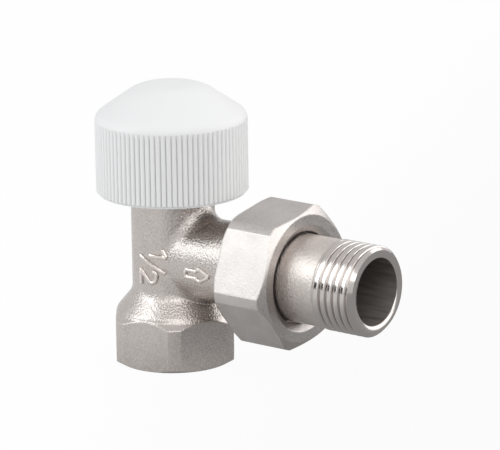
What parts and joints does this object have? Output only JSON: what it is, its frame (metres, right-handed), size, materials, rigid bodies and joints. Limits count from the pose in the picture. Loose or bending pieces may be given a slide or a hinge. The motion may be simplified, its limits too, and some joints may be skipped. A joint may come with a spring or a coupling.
{
  "type": "angled radiator valve",
  "caption": "Angled radiator valve body with hexagonal female inlet, ribbed hand cap over a spring-lifted valve stem, and union nut with threaded tailpiece.",
  "frame": {"origin": "centre of the inlet's open face, on the stem axis", "axes": "+Z along the stem axis, up through the cap; +X along the outlet; +Y completes the right-handed set"},
  "size_m": [0.0755, 0.035, 0.065],
  "materials": {
    "nickel_blasted": "sand-blasted nickel plate",
    "nickel_satin": "satin nickel plate",
    "nickel_turned": "turned nickel plate",
    "bare_brass": "turned",
    "spring_steel": "bright",
    "black_rubber": "matt",
    "fibre_seal": "matt",
    "cap_plastic": "satin white",
    "white_plastic": "matt"
  },
  "bodies": {
    "body": {"valve_body": "nickel_blasted", "insert_housing": "bare_brass", "insert_o_ring": "black_rubber", "guide_bush": "bare_brass", "gland_washer": "white_plastic", "stem_o_ring": "black_rubber", "gland_nut": "bare_brass", "gland_o_ring": "black_rubber", "return_spring": "spring_steel"},
    "stem": {"spindle": "bare_brass", "pressure_pin": "spring_steel", "spring_collar": "bare_brass", "retaining_clip": "spring_steel", "disc_holder": "bare_brass", "disc_seal": "black_rubber", "disc_washer": "bare_brass", "disc_nut": "bare_brass"},
    "cap": {"protective_cap": "cap_plastic"},
    "tail": {"tailpiece": "nickel_turned", "tail_seal": "fibre_seal"},
    "nut": {"union_nut": "nickel_satin"}
  },
  "joints": [
    {"name": "stem_slide", "type": "slide", "parent": "body", "child": "stem", "axis": [0, 0, 1], "range_m": [-0.0025, 0], "deforming": ["return_spring"]},
    {"name": "cap_turn", "type": "hinge", "parent": "stem", "child": "cap", "pos_m": [0, 0, 0.05], "axis": [0, 0, 1], "range_deg": [-600, 0]},
    {"name": "tail_slide", "type": "slide", "parent": "body", "child": "tail", "axis": [1, 0, 0], "range_m": [0, 0.00453]},
    {"name": "nut_turn", "type": "hinge", "parent": "tail", "child": "nut", "pos_m": [0.031, 0, 0.025], "axis": [1, 0, 0], "range_deg": [0, 900]}
  ],
  "couplings": [
    {"joint": "cap_turn", "follows": "stem_slide", "rad_per_m": 4188.8},
    {"joint": "nut_turn", "follows": "tail_slide", "rad_per_m": 3463.7}
  ]
}
